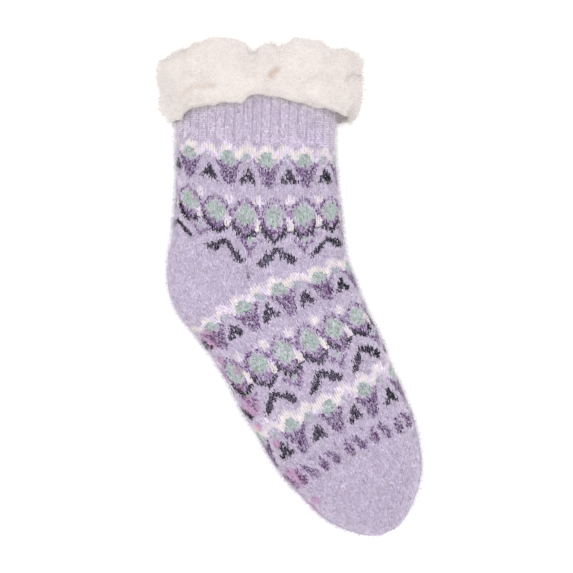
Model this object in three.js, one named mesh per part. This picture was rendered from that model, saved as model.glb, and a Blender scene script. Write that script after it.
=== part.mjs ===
// Slipper sock lying on its side: a knitted sock, a turned-down fleece cuff and grip pads under the sole.
// Millimetres. +X runs from the back of the heel to the instep, +Y up the leg, +Z up from the floor.
import * as THREE from "three";

// The knitted sock, with its widths measured pressed flat
const FOOT_LENGTH = 230; // back of the heel to the toe tip
const BALL_WIDTH = 108; // sole edge to upper edge, over the ball and toes
const INSTEP_WIDTH = 114; // sole edge to upper edge, over the instep
const HEEL_WIDTH = 126; // back of the heel to the front of the ankle
const LEG_WIDTH = 115; // back edge to front edge of the leg
const LEG_HEIGHT = 147; // heel point to the collar edge
const FOOT_ANGLE = 62; // degrees that the foot slants down from +X
const THICKNESS = 42; // floor to the top of the sock as it lies
const WALL = 3; // knit and its thin backing

// The fleece cuff
const CUFF_PILE = 10; // pile outside the leg
const CUFF_PRESSED = 7; // pile between the leg and the floor
const CUFF_DEPTH = 44; // how far the fold hangs down the leg
const CUFF_ARCH = 18; // how much less it hangs at the middle of the upper side
const FOLD_RISE = 13; // top of the fold over the collar edge
const FOLD_DIP = 6; // notch where the two lobes of the fold meet
const LINING_PILE = 6; // pile inside the collar
const LINING_DEPTH = 34; // how far the fleece reaches down inside
const TUFT_PITCH = 14; // spacing of the curled locks
const TUFT_HEIGHT = 5; // how far the locks stand out
const LOCK_REACH = 0.8; // radius of a lock, share of the spacing
const LOCK_STRAY = 0.5; // how far a lock strays in its place, share of the spacing
const LOCK_UNEVEN = 0.4; // how much shorter the shortest lock is, share of the tallest
const CUFF_GAP = 0.5; // between the fleece and the curved wall that it folds over

// The grip pads
const SOLE_BAND = 64; // width of the tread, over the curve of the sole
const LARGE_GRIP = 16; // diameters
const SMALL_GRIP = 7;
const GRIP_HEIGHT = 1.1;

const PAD_GAP = 0.3; // between the knit's surface and a pad

// How finely the surfaces are cut
const RINGS = 40;
const AROUND = 36; // a multiple of four, half over and half under
const CUFF_AROUND = 88;
const HALF_SAMPLES = 90; // samples of half a section before it is spaced evenly
const LATTICE_RINGS = 200;
const LATTICE_AROUND = 144;

// A section rests on the floor: its edges stand at this share of the thickness,
// and its underside would reach a little too low if the floor did not flatten it.
const EDGE_SHARE = 0.476;
const UNDER_REACH = 1.1;
const EDGE_FULLNESS = 0.5; // power of the section's run: low is full edges, 1 an ellipse

// Leg sections. up and frontUp are shares of LEG_HEIGHT over the heel point, back and front shares of LEG_WIDTH
// out from it, thick a share of THICKNESS and lift a share of CUFF_PRESSED.
const LEG_SECTIONS = [
  { up: 1.0, frontUp: 1.0, back: 0.44, front: 0.558, thick: 0.9, lift: 1.0 },
  { up: 0.817, frontUp: 0.817, back: 0.447, front: 0.549, thick: 0.92, lift: 1.0 },
  { up: 0.601, frontUp: 0.601, back: 0.455, front: 0.542, thick: 0.96, lift: 0.7 },
  { up: 0.433, frontUp: 0.44, back: 0.452, front: 0.554, thick: 1.0, lift: 0.25 },
  { up: 0.288, frontUp: 0.3, back: 0.462, front: 0.578, thick: 1.0, lift: 0 },
  { up: 0.168, frontUp: 0.139, back: 0.48, front: 0.597, thick: 0.99, lift: 0 },
];

// Heel, foot and toe sections. soleAlong and upperAlong are shares of FOOT_LENGTH along the foot from the heel point,
// sole and upper shares of the row's own width out from it, and thick is a share of THICKNESS.
const FOOT_SECTIONS = [
  { width: HEEL_WIDTH, soleAlong: -0.171, sole: 0.349, upperAlong: 0.07, upper: 0.552, thick: 0.97 },
  { width: HEEL_WIDTH, soleAlong: -0.134, sole: 0.398, upperAlong: 0.08, upper: 0.549, thick: 0.95 },
  { width: HEEL_WIDTH, soleAlong: -0.093, sole: 0.438, upperAlong: 0.089, upper: 0.544, thick: 0.94 },
  { width: HEEL_WIDTH, soleAlong: -0.033, sole: 0.471, upperAlong: 0.098, upper: 0.539, thick: 0.94 },
  { width: HEEL_WIDTH, soleAlong: 0.036, sole: 0.474, upperAlong: 0.106, upper: 0.533, thick: 0.96 },
  { width: INSTEP_WIDTH, soleAlong: 0.08, sole: 0.502, upperAlong: 0.119, upper: 0.583, thick: 0.98 },
  { width: INSTEP_WIDTH, soleAlong: 0.173, sole: 0.468, upperAlong: 0.2, upper: 0.56, thick: 1.0 },
  { width: INSTEP_WIDTH, soleAlong: 0.281, sole: 0.453, upperAlong: 0.293, upper: 0.543, thick: 1.0 },
  { width: INSTEP_WIDTH, soleAlong: 0.385, sole: 0.457, upperAlong: 0.386, upper: 0.536, thick: 1.0 },
  { width: BALL_WIDTH, soleAlong: 0.486, sole: 0.469, upperAlong: 0.484, upper: 0.543, thick: 0.98 },
  { width: BALL_WIDTH, soleAlong: 0.582, sole: 0.46, upperAlong: 0.585, upper: 0.526, thick: 0.94 },
  { width: BALL_WIDTH, soleAlong: 0.662, sole: 0.423, upperAlong: 0.666, upper: 0.5, thick: 0.88 },
  { width: BALL_WIDTH, soleAlong: 0.721, sole: 0.387, upperAlong: 0.732, upper: 0.461, thick: 0.81 },
  { width: BALL_WIDTH, soleAlong: 0.786, sole: 0.342, upperAlong: 0.792, upper: 0.406, thick: 0.72 },
  { width: BALL_WIDTH, soleAlong: 0.839, sole: 0.269, upperAlong: 0.841, upper: 0.324, thick: 0.6 },
  { width: BALL_WIDTH, soleAlong: 0.878, sole: 0.193, upperAlong: 0.878, upper: 0.237, thick: 0.48 },
  { width: BALL_WIDTH, soleAlong: 0.903, sole: 0.125, upperAlong: 0.904, upper: 0.156, thick: 0.37 },
  { width: BALL_WIDTH, soleAlong: 0.916, sole: 0.073, upperAlong: 0.918, upper: 0.095, thick: 0.29 },
];
const TOE_TIP = 0.924; // share of FOOT_LENGTH along the foot

// Grip pads. along is a share of FOOT_LENGTH, across a share of SOLE_BAND from the middle of the sole,
// and a pad off the middle has a twin on the other side.
const GRIP_ROWS = [
  { size: LARGE_GRIP, along: 0.131, across: 0.25 },
  { size: LARGE_GRIP, along: 0.37, across: 0.25 },
  { size: LARGE_GRIP, along: 0.63, across: 0.23 },
  { size: LARGE_GRIP, along: 0.247, across: 0 },
  { size: LARGE_GRIP, along: 0.5, across: 0 },
  { size: LARGE_GRIP, along: 0.735, across: 0 },
  { size: SMALL_GRIP, along: 0.205, across: 0.19 },
  { size: SMALL_GRIP, along: 0.256, across: 0.33 },
  { size: SMALL_GRIP, along: 0.31, across: 0.24 },
  { size: SMALL_GRIP, along: 0.44, across: 0.2 },
  { size: SMALL_GRIP, along: 0.51, across: 0.3 },
  { size: SMALL_GRIP, along: 0.72, across: 0.22 },
  { size: SMALL_GRIP, along: 0.131, across: 0 },
  { size: SMALL_GRIP, along: 0.37, across: 0 },
  { size: SMALL_GRIP, along: 0.63, across: 0 },
];

const KNIT = { color: 0xc9bcd3, roughness: 0.95, metalness: 0 };
const FLEECE = { color: 0xf2eae4, roughness: 1, metalness: 0 };
const SILICONE = { color: 0xc98fb6, roughness: 0.35, metalness: 0 };

const slant = THREE.MathUtils.degToRad(FOOT_ANGLE);
const ALONG_FOOT = new THREE.Vector2(Math.cos(slant), -Math.sin(slant));
const ACROSS_FOOT = new THREE.Vector2(Math.sin(slant), Math.cos(slant));

// A place in the drawing plane, so far along the foot and so far towards the upper from the heel point.
function onFoot(along, across) {
  return ALONG_FOOT.clone()
    .multiplyScalar(along)
    .addScaledVector(ACROSS_FOOT, across);
}

function legSection(row) {
  return {
    back: new THREE.Vector2(-row.back * LEG_WIDTH, row.up * LEG_HEIGHT),
    front: new THREE.Vector2(row.front * LEG_WIDTH, row.frontUp * LEG_HEIGHT),
    thick: row.thick * THICKNESS,
    lift: row.lift * CUFF_PRESSED,
  };
}

function footSection(row) {
  return {
    back: onFoot(row.soleAlong * FOOT_LENGTH, -row.sole * row.width),
    front: onFoot(row.upperAlong * FOOT_LENGTH, row.upper * row.width),
    thick: row.thick * THICKNESS,
    lift: 0,
  };
}

const sections = [
  ...LEG_SECTIONS.map(legSection),
  ...FOOT_SECTIONS.map(footSection),
];

// The back and sole edge carries the thickness as its third value, the front edge the lift off the floor.
const backEdge = new THREE.CatmullRomCurve3(
  sections.map((s) => new THREE.Vector3(s.back.x, s.back.y, s.thick)),
);
const frontEdge = new THREE.CatmullRomCurve3(
  sections.map((s) => new THREE.Vector3(s.front.x, s.front.y, s.lift)),
);

// Half of a section from the back edge to the front edge, over (side 1) or under (side -1), as even steps.
// Each point is [run across from -1 to 1, height].
function halfSection(back, front, thick, lift, side, steps) {
  const halfWidth = back.distanceTo(front) / 2;
  const edgeHeight = lift + EDGE_SHARE * thick;
  const reach = side > 0 ? thick - EDGE_SHARE * thick : UNDER_REACH * EDGE_SHARE * thick;
  const drawn = [];
  for (let i = 0; i <= HALF_SAMPLES; i++) {
    const turn = (Math.PI * i) / HALF_SAMPLES;
    const run = -Math.sign(Math.cos(turn)) * Math.abs(Math.cos(turn)) ** EDGE_FULLNESS;
    const height = Math.max(lift, edgeHeight + side * reach * Math.sin(turn));
    drawn.push(new THREE.Vector2(run * halfWidth, height));
  }
  const travelled = [0];
  for (let i = 1; i < drawn.length; i++)
    travelled.push(travelled[i - 1] + drawn[i].distanceTo(drawn[i - 1]));
  const even = [];
  let k = 0;
  for (let j = 0; j <= steps; j++) {
    const goal = (travelled[HALF_SAMPLES] * j) / steps;
    while (k < HALF_SAMPLES - 1 && travelled[k + 1] < goal) k++;
    const share = (goal - travelled[k]) / (travelled[k + 1] - travelled[k]);
    const spot = drawn[k].clone().lerp(drawn[k + 1], share);
    even.push([spot.x / halfWidth, spot.y]);
  }
  return even;
}

// One closed section at t from 0 (collar) to 1 (last toe section): over from back to front, then under again.
function ringAt(t, around) {
  const b = backEdge.getPoint(t);
  const f = frontEdge.getPoint(t);
  const back = new THREE.Vector2(b.x, b.y);
  const front = new THREE.Vector2(f.x, f.y);
  const lift = Math.max(0, f.z);
  const over = halfSection(back, front, b.z, lift, 1, around / 2);
  const under = halfSection(back, front, b.z, lift, -1, around / 2);
  const loop = [...over.slice(0, -1), ...under.slice(1).reverse()];
  return loop.map(([run, height]) => {
    const flat = back.clone().lerp(front, (run + 1) / 2);
    return new THREE.Vector3(flat.x, flat.y, height);
  });
}

// A fine lattice of sections, for what is laid on the outer surface.
const lattice = [];
for (let r = 0; r <= LATTICE_RINGS; r++)
  lattice.push(ringAt(r / LATTICE_RINGS, LATTICE_AROUND));

// A place on the outer surface at t, with share from 0 to 1 round the section, and its outward normal.
function surfacePoint(t, share) {
  const ring = Math.min(t * LATTICE_RINGS, LATTICE_RINGS - 0.001);
  const at = (((share % 1) + 1) % 1) * LATTICE_AROUND;
  const r = Math.floor(ring);
  const a = Math.floor(at) % LATTICE_AROUND;
  const next = (a + 1) % LATTICE_AROUND;
  const near = lattice[r][a].clone().lerp(lattice[r][next], at - Math.floor(at));
  const far = lattice[r + 1][a].clone().lerp(lattice[r + 1][next], at - Math.floor(at));
  return near.lerp(far, ring - r);
}
function surfaceNormal(t, share) {
  const step = 1 / LATTICE_AROUND;
  const down = surfacePoint(t + step, share).sub(surfacePoint(t - step, share));
  const round = surfacePoint(t, share + step).sub(surfacePoint(t, share - step));
  return down.cross(round).normalize();
}

function meshFrom(name, points, faces, finish) {
  const geometry = new THREE.BufferGeometry().setFromPoints(points);
  geometry.setIndex(faces.flat());
  geometry.computeVertexNormals();
  const mesh = new THREE.Mesh(geometry, new THREE.MeshStandardMaterial(finish));
  mesh.name = name;
  return mesh;
}

// Two triangles for each cell between rows a and b of a grid whose rows close on themselves.
function band(aStart, bStart, count) {
  const faces = [];
  for (let i = 0; i < count; i++) {
    const next = (i + 1) % count;
    faces.push([aStart + i, bStart + i, bStart + next]);
    faces.push([aStart + i, bStart + next, aStart + next]);
  }
  return faces;
}
const turned = (faces) => faces.map(([a, b, c]) => [a, c, b]);

// The outer wall of the knit, from the collar to a closed toe.
const outerPoints = [];
for (let r = 0; r <= RINGS; r++)
  outerPoints.push(...ringAt(backEdge.getUtoTmapping(r / RINGS), AROUND));
const tip = onFoot(TOE_TIP * FOOT_LENGTH, 0);
const lastThick = sections[sections.length - 1].thick;
outerPoints.push(new THREE.Vector3(tip.x, tip.y, EDGE_SHARE * lastThick));
const outerFaces = [];
for (let r = 0; r < RINGS; r++)
  outerFaces.push(...band(r * AROUND, (r + 1) * AROUND, AROUND));
const pole = (RINGS + 1) * AROUND;
for (let i = 0; i < AROUND; i++)
  outerFaces.push([RINGS * AROUND + i, pole, RINGS * AROUND + ((i + 1) % AROUND)]);

const wallGeometry = new THREE.BufferGeometry().setFromPoints(outerPoints);
wallGeometry.setIndex(outerFaces.flat());
wallGeometry.computeVertexNormals();
const outerNormals = outerPoints.map((_, i) =>
  new THREE.Vector3().fromBufferAttribute(wallGeometry.attributes.normal, i),
);

function knitSock() {
  const inner = outerPoints.map((p, i) => p.clone().addScaledVector(outerNormals[i], -WALL));
  const shift = outerPoints.length;
  const innerFaces = turned(outerFaces).map((face) => face.map((i) => i + shift));
  const rim = turned(band(0, shift, AROUND));
  return meshFrom("knit_sock", [...outerPoints, ...inner], [...outerFaces, ...innerFaces, ...rim], KNIT);
}

// A place beside the leg's wall: around from 0 to AROUND, down the leg from the collar edge, out from the wall.
const RING_PITCH = backEdge.getLength() / RINGS;
function besideLeg(around, down, out) {
  const ring = Math.max(0, down) / RING_PITCH;
  const r = Math.floor(ring);
  const a = Math.floor(around) % AROUND;
  const spot = new THREE.Vector3(0, Math.max(0, -down), 0);
  for (const [dr, wr] of [[0, 1 - (ring - r)], [1, ring - r]])
    for (const [da, wa] of [[0, 1 - (around - Math.floor(around))], [1, around - Math.floor(around)]]) {
      const i = (r + dr) * AROUND + ((a + da) % AROUND);
      spot.addScaledVector(outerPoints[i], wr * wa).addScaledVector(outerNormals[i], out * wr * wa);
    }
  return spot;
}

// Curled locks of the pile: the height of the tallest round lock over a place on the fleece.
const scatter = (i, j, k) => {
  const v = Math.sin(i * 127.1 + j * 311.7 + k * 74.7) * 43758.5453;
  return v - Math.floor(v);
};
function lockHeight(column, row, columns) {
  let high = 0;
  for (let di = -1; di <= 1; di++)
    for (let dj = -1; dj <= 1; dj++) {
      const i = Math.floor(column) + di;
      const j = Math.floor(row) + dj;
      const wrapped = ((i % columns) + columns) % columns;
      const dx = i + 0.5 + LOCK_STRAY * (scatter(wrapped, j, 1) - 0.5) - column;
      const dy = j + 0.5 + LOCK_STRAY * (scatter(wrapped, j, 2) - 0.5) - row;
      const near = 1 - (dx * dx + dy * dy) / LOCK_REACH ** 2;
      const tall = 1 - LOCK_UNEVEN * scatter(wrapped, j, 3);
      if (near > 0) high = Math.max(high, tall * Math.sqrt(near));
    }
  return high * TUFT_HEIGHT;
}

// The cuff's outline where it crosses the collar, as [out from the wall, down the leg, share of lock height]:
// up the channel that holds the wall, down and up the lining, over the fold and down outside.
const FOLD_STEPS = 6;
const OUTSIDE_STEPS = 5;
const OUTSIDE_END = 0.8; // where the outside starts to round in, share of the depth
const LINING_LOCKS = 0.3; // how far the locks stand out inside, share of the outside's
function cuffProfile(depth, rise) {
  const inside = -WALL - CUFF_GAP;
  const liningFace = inside - LINING_PILE;
  const middle = (CUFF_PILE + liningFace) / 2;
  const half = (CUFF_PILE - liningFace) / 2;
  const fold = [];
  for (let i = 0; i <= FOLD_STEPS; i++) {
    const turn = Math.PI * (1 - i / FOLD_STEPS);
    const locks = Math.min(1, LINING_LOCKS + (2 * i) / FOLD_STEPS);
    fold.push([middle + half * Math.cos(turn), -rise * Math.sin(turn), locks]);
  }
  const outside = [];
  for (let i = 1; i <= OUTSIDE_STEPS; i++)
    outside.push([CUFF_PILE, (depth * OUTSIDE_END * i) / OUTSIDE_STEPS, 1]);
  return [
    [CUFF_GAP, depth * 0.96, 0],
    [CUFF_GAP, depth * 0.5, 0],
    [CUFF_GAP, -CUFF_GAP, 0],
    [inside, -CUFF_GAP, 0],
    [inside, LINING_DEPTH * 0.5, 0],
    [inside, LINING_DEPTH, 0],
    [liningFace, LINING_DEPTH * 0.95, LINING_LOCKS],
    [liningFace, LINING_DEPTH * 0.5, LINING_LOCKS],
    ...fold,
    ...outside,
    [CUFF_PILE * 0.72, depth * 0.94, 0.9],
    [CUFF_PILE * 0.3, depth, 0.4],
  ];
}

const NOTCH_PLACE = 0.06; // shares of half the leg's width, forward from its middle
const NOTCH_WIDTH = 0.1;
const FOLD_SAG = 0.4; // how much lower the fold is at its sides, share of its rise
function fleeceCuff() {
  const points = [];
  const collar = outerPoints.slice(0, AROUND);
  const girth = collar.reduce((sum, p, i) => sum + p.distanceTo(collar[(i + 1) % AROUND]), 0);
  const columns = Math.round(girth / TUFT_PITCH);
  const centreX = (collar[0].x + collar[AROUND / 2].x) / 2;
  const halfWidth = (collar[AROUND / 2].x - collar[0].x) / 2;
  for (let c = 0; c < CUFF_AROUND; c++) {
    const around = (c * AROUND) / CUFF_AROUND;
    const across = (besideLeg(around, 0, 0).x - centreX) / halfWidth;
    const over = Math.max(0, Math.sin((2 * Math.PI * around) / AROUND));
    const depth = CUFF_DEPTH - CUFF_ARCH * over * (1 - across * across);
    const notch = FOLD_DIP * Math.exp(-(((across - NOTCH_PLACE) / NOTCH_WIDTH) ** 2));
    const rise = FOLD_RISE * (1 - FOLD_SAG * across ** 4) - notch;
    const profile = cuffProfile(depth, rise);
    const bare = profile.map(([out, down]) => besideLeg(around, down, out));
    let travelled = 0;
    profile.forEach(([out, down, lock], k) => {
      const before = bare[(k + profile.length - 1) % profile.length];
      const after = bare[(k + 1) % profile.length];
      travelled += bare[k].distanceTo(before);
      const tangent = after.clone().sub(before).normalize();
      const round = besideLeg(around + 0.5, down, out).sub(besideLeg(around, down, out)).normalize();
      const away = tangent.cross(round).normalize();
      const height = lock * lockHeight((c * columns) / CUFF_AROUND, travelled / TUFT_PITCH, columns);
      const spot = bare[k].clone().addScaledVector(away, height);
      spot.z = Math.max(0, spot.z);
      points.push(spot);
    });
  }
  const count = cuffProfile(CUFF_DEPTH, FOLD_RISE).length;
  const faces = [];
  for (let c = 0; c < CUFF_AROUND; c++)
    faces.push(...band(c * count, ((c + 1) % CUFF_AROUND) * count, count));
  return meshFrom("fleece_cuff", points, turned(faces), FLEECE);
}

// The t at which the sole edge lies so far along the foot, and the share round a section
// that lies so far over the sole from its edge.
const T_HEEL = (LEG_SECTIONS.length + 3) / (sections.length - 1);
function tAlong(distance) {
  let low = T_HEEL;
  let high = 1;
  for (let i = 0; i < 30; i++) {
    const middle = (low + high) / 2;
    const edge = backEdge.getPoint(middle);
    if (new THREE.Vector2(edge.x, edge.y).dot(ALONG_FOOT) < distance) low = middle;
    else high = middle;
  }
  return (low + high) / 2;
}
function shareAcross(t, distance) {
  const ring = lattice[Math.round(t * LATTICE_RINGS)];
  const step = distance < 0 ? ring[0].distanceTo(ring[LATTICE_AROUND - 1]) : ring[0].distanceTo(ring[1]);
  return distance / step / LATTICE_AROUND;
}

// A domed pad as rings of [share of its radius, height over the knit], from the centre of its underside
// to the centre of its top.
const PAD_RINGS = [
  [0.5, 0],
  [1, 0],
  [0.96, 0.5],
  [0.55, 0.93],
];
const LARGE_SIDES = 12;
const SMALL_SIDES = 8;
function gripPad(name, size, along, across) {
  const sides = size === LARGE_GRIP ? LARGE_SIDES : SMALL_SIDES;
  const spot = (dx, dy, height) => {
    const t = tAlong(along + dx);
    const share = shareAcross(t, across + dy);
    return surfacePoint(t, share).addScaledVector(surfaceNormal(t, share), PAD_GAP + height);
  };
  const points = [spot(0, 0, 0)];
  for (const [radius, height] of PAD_RINGS)
    for (let i = 0; i < sides; i++) {
      const turn = (2 * Math.PI * i) / sides;
      const reach = (radius * size) / 2;
      points.push(spot(reach * Math.cos(turn), reach * Math.sin(turn), height * GRIP_HEIGHT));
    }
  points.push(spot(0, 0, GRIP_HEIGHT));
  const top = points.length - 1;
  const faces = [];
  for (let i = 0; i < sides; i++) {
    const next = (i + 1) % sides;
    faces.push([0, 1 + next, 1 + i]);
    faces.push([top, top - sides + i, top - sides + next]);
  }
  for (let r = 0; r < PAD_RINGS.length - 1; r++)
    faces.push(...turned(band(1 + r * sides, 1 + (r + 1) * sides, sides)));
  return meshFrom(name, points, faces, SILICONE);
}

function gripPads() {
  const pads = [];
  GRIP_ROWS.forEach((row, i) => {
    const kind = row.size === LARGE_GRIP ? "large" : "small";
    const name = `grip_pad_${kind}_${String(i + 1).padStart(2, "0")}`;
    const along = row.along * FOOT_LENGTH;
    const across = row.across * SOLE_BAND;
    if (across === 0) pads.push(gripPad(name, row.size, along, 0));
    else {
      pads.push(gripPad(`${name}_over`, row.size, along, across));
      pads.push(gripPad(`${name}_under`, row.size, along, -across));
    }
  });
  return pads;
}

// The origin is at the middle of the box's floor.
const sock = new THREE.Group();
sock.add(knitSock(), fleeceCuff(), ...gripPads());
const box = new THREE.Box3().setFromObject(sock, true);
const middle = box.getCenter(new THREE.Vector3());
sock.position.set(-middle.x, -middle.y, -box.min.z);

const group = new THREE.Group();
group.add(sock);
export default group;
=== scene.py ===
# Slipper sock lying on its side: chunky patterned knit, a fleece cuff and grip pads.
# The script works in millimetres from the heel point, as the model's own source does, and makes metres at the end.
import math

import bpy
import numpy as np
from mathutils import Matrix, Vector


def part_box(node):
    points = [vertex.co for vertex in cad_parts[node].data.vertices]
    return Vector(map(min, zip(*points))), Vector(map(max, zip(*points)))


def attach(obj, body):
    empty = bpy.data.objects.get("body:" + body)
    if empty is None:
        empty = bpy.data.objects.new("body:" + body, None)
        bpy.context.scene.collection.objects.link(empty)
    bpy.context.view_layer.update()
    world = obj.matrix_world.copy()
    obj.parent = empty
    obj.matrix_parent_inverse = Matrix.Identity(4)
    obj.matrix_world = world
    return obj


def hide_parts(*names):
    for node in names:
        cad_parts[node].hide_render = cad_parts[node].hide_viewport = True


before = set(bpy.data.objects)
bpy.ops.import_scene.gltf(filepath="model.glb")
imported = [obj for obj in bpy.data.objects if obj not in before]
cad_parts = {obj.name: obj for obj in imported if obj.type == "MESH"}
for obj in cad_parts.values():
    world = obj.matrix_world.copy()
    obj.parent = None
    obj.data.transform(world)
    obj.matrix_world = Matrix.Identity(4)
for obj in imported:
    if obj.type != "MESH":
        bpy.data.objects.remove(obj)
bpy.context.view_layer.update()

MM = 0.001
rng = np.random.default_rng(11)

# The knitted sock
FOOT_LENGTH = 230.0
BALL_WIDTH = 108.0
INSTEP_WIDTH = 114.0
HEEL_WIDTH = 126.0
LEG_WIDTH = 115.0
LEG_HEIGHT = 147.0
FOOT_ANGLE = 62.0
THICKNESS = 42.0
WALL = 3.0
CUFF_PRESSED = 7.0
TOE_TIP = 0.924
SOLE_BAND = 64.0
LARGE_GRIP = 16.0
SMALL_GRIP = 7.0
GRIP_HEIGHT = 1.1
PAD_GAP = 0.3

EDGE_SHARE = 0.476
UNDER_REACH = 1.1
EDGE_FULLNESS = 0.5

# up, front up (shares of LEG_HEIGHT), back, front (shares of LEG_WIDTH), thick (of THICKNESS), lift (of CUFF_PRESSED)
LEG_SECTIONS = [
    (1.0, 1.0, 0.44, 0.558, 0.9, 1.0),
    (0.817, 0.817, 0.447, 0.549, 0.92, 1.0),
    (0.601, 0.601, 0.455, 0.542, 0.96, 0.7),
    (0.433, 0.44, 0.452, 0.554, 1.0, 0.25),
    (0.288, 0.3, 0.462, 0.578, 1.0, 0),
    (0.168, 0.139, 0.48, 0.597, 0.99, 0),
]
# width, sole along (of FOOT_LENGTH), sole (of width), upper along, upper, thick (of THICKNESS)
FOOT_SECTIONS = [
    (HEEL_WIDTH, -0.171, 0.349, 0.07, 0.552, 0.97),
    (HEEL_WIDTH, -0.134, 0.398, 0.08, 0.549, 0.95),
    (HEEL_WIDTH, -0.093, 0.438, 0.089, 0.544, 0.94),
    (HEEL_WIDTH, -0.033, 0.471, 0.098, 0.539, 0.94),
    (HEEL_WIDTH, 0.036, 0.474, 0.106, 0.533, 0.96),
    (INSTEP_WIDTH, 0.08, 0.502, 0.119, 0.583, 0.98),
    (INSTEP_WIDTH, 0.173, 0.468, 0.2, 0.56, 1.0),
    (INSTEP_WIDTH, 0.281, 0.453, 0.293, 0.543, 1.0),
    (INSTEP_WIDTH, 0.385, 0.457, 0.386, 0.536, 1.0),
    (BALL_WIDTH, 0.486, 0.469, 0.484, 0.543, 0.98),
    (BALL_WIDTH, 0.582, 0.46, 0.585, 0.526, 0.94),
    (BALL_WIDTH, 0.662, 0.423, 0.666, 0.5, 0.88),
    (BALL_WIDTH, 0.721, 0.387, 0.732, 0.461, 0.81),
    (BALL_WIDTH, 0.786, 0.342, 0.792, 0.406, 0.72),
    (BALL_WIDTH, 0.839, 0.269, 0.841, 0.324, 0.6),
    (BALL_WIDTH, 0.878, 0.193, 0.878, 0.237, 0.48),
    (BALL_WIDTH, 0.903, 0.125, 0.904, 0.156, 0.37),
    (BALL_WIDTH, 0.916, 0.073, 0.918, 0.095, 0.29),
]
# size, along (of FOOT_LENGTH), across (of SOLE_BAND); a pad off the middle has a twin on the other side
GRIP_ROWS = [
    (LARGE_GRIP, 0.131, 0.25),
    (LARGE_GRIP, 0.37, 0.25),
    (LARGE_GRIP, 0.63, 0.23),
    (LARGE_GRIP, 0.247, 0),
    (LARGE_GRIP, 0.5, 0),
    (LARGE_GRIP, 0.735, 0),
    (SMALL_GRIP, 0.205, 0.19),
    (SMALL_GRIP, 0.256, 0.33),
    (SMALL_GRIP, 0.31, 0.24),
    (SMALL_GRIP, 0.44, 0.2),
    (SMALL_GRIP, 0.51, 0.3),
    (SMALL_GRIP, 0.72, 0.22),
    (SMALL_GRIP, 0.131, 0),
    (SMALL_GRIP, 0.37, 0),
    (SMALL_GRIP, 0.63, 0),
]

# The knitting
WALES = 148
ROW_PITCH = 1.52
RIBS = 41
RIB_KNIT = 0.82
RIB_DEPTH = 0.5
RIB_SWAY = 0.07
# Painted shade in the grooves of the ribs: the share of light their stitches lose
RIB_SHADE = 0.3
STITCH_HEIGHT = 0.5

# Courses of the leg: row number, then height over the heel point at the back edge, at three quarters
# between and at the front edge.
LEG_COURSES = [
    (0, 147.0, 147.0, 147.0, 147.0, 147.0),
    (38, 92.4, 89.2, 87.4, 86.0, 85.3),
    (53, 75.7, 67.9, 64.8, 64.8, 65.8),
    (69, 56.6, 44.2, 40.0, 41.0, 44.9),
    (85, 36.1, 23.4, 15.2, 16.3, 26.9),
    (95, 27.6, 12.0, -0.7, 3.5, 14.2),
]
# Courses of the foot: row number, then distance along the foot from the heel point, from the sole edge to
# the upper edge.
FOOT_COURSES = [
    (0, 13.8, 9.9, 8.5, 13.1, 19.5),
    (2, 17.0, 13.1, 11.7, 16.3, 22.6),
    (17, 32.2, 32.8, 33.3, 36.8, 41.0),
    (33, 55.9, 59.0, 60.7, 62.2, 61.6),
    (49, 82.4, 84.6, 86.3, 86.0, 83.9),
    (57, 94.1, 96.2, 97.9, 97.9, 95.9),
    (74, 122.8, 123.1, 123.5, 124.3, 124.9),
    (88, 147.2, 145.8, 144.4, 144.7, 146.1),
]
TOE_ROWS = 50
TOE_WALE = 1.76
COURSE_RUNS = np.array([-1, -0.5, 0, 0.5, 1])
GORE_SHARE = 0.34

ZIGZAG_DEPTH = 4
ZIGZAG_ROUND = 1.5

# Colours of the yarns
YARNS = {
    ".": (207, 197, 215),
    "r": (228, 218, 234),
    "c": (225, 216, 214),
    "m": (180, 196, 187),
    "n": (184, 192, 197),
    "p": (84, 38, 100),
    "q": (150, 112, 162),
    "k": (26, 26, 38),
    "b": (30, 30, 42),
    "l": (215, 205, 210),
}
# The yarns that show in blotches, the soft ones that fill the gaps between stitches, how far single strands stray
# from their colour, the share of strands of the ground among them, and the share of each that shows as light flecks
BLOTCHY = "cln"
PALE = "cl"
SOFT = "clmn"
SOFT_SINK = 0.4
UNEVEN = {".": 0.15, "r": 0.15, "c": 0.06, "m": 0.19, "n": 0.14, "p": 0.25, "q": 0.25, "k": 0.3, "b": 0.4, "l": 0.1}
GROUND_IN = {"p": 0.08, "q": 0.25, "k": 0.03, "b": 0.3, "m": 0.14, "n": 0.4, "c": 0.2, "l": 0.4}
FLECKS = {".": 0.12, "r": 0.16, "p": 0.45, "q": 0.4, "k": 0.04, "b": 0.15, "m": 0.12, "c": 0.15, "l": 0.2}

TULIP = [
    "....mmm....",
    "...mmmmm...",
    "...mmmmm...",
    "..mmmmmmm..",
    "q.mmmmmmm.q",
    "qp.mmmmm.pq",
    ".pq.mpm.qp.",
    ".ppp.p.ppp.",
    "..ppppppp..",
    "..ppppppp..",
    "..ppppppp..",
    "..qpppppq..",
    "...ppppp...",
    "...ppppp...",
    "...ppppp...",
    "....ppp....",
    "....qpq....",
]
TREE = [
    "..nnn..",
    "..nnn..",
    ".nnnnn.",
    "..nnn..",
    "...n...",
    ".......",
    ".......",
    "...kk..",
    "...kk..",
    "..kkkb.",
    "..kkkk.",
    ".kkkkk.",
    "bkkbkkk",
    "kkb.bkb",
]
MEDALLION = [
    ".....q.....",
    "....p.p....",
    "...pq.qp...",
    "..pp.m.pp..",
    ".pq.mmm.qp.",
    ".p.mmmmm.p.",
    "qpmmmmmmmpq",
    "p.mmmmmmm.p",
    "q.mmmmmmm.q",
    "p.mmmmmmm.p",
    "qpmmmmmmmpq",
    "pp.mmmmm.pp",
    "kpq.mmm.qpk",
    "kkpqpmpqpkk",
    "kkppqpqppkk",
    "bkkpqpqpkkb",
    ".bkkpqpkkb.",
    "..kkkpkkk..",
    "...bkkkb...",
    "....kkb....",
]
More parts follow.
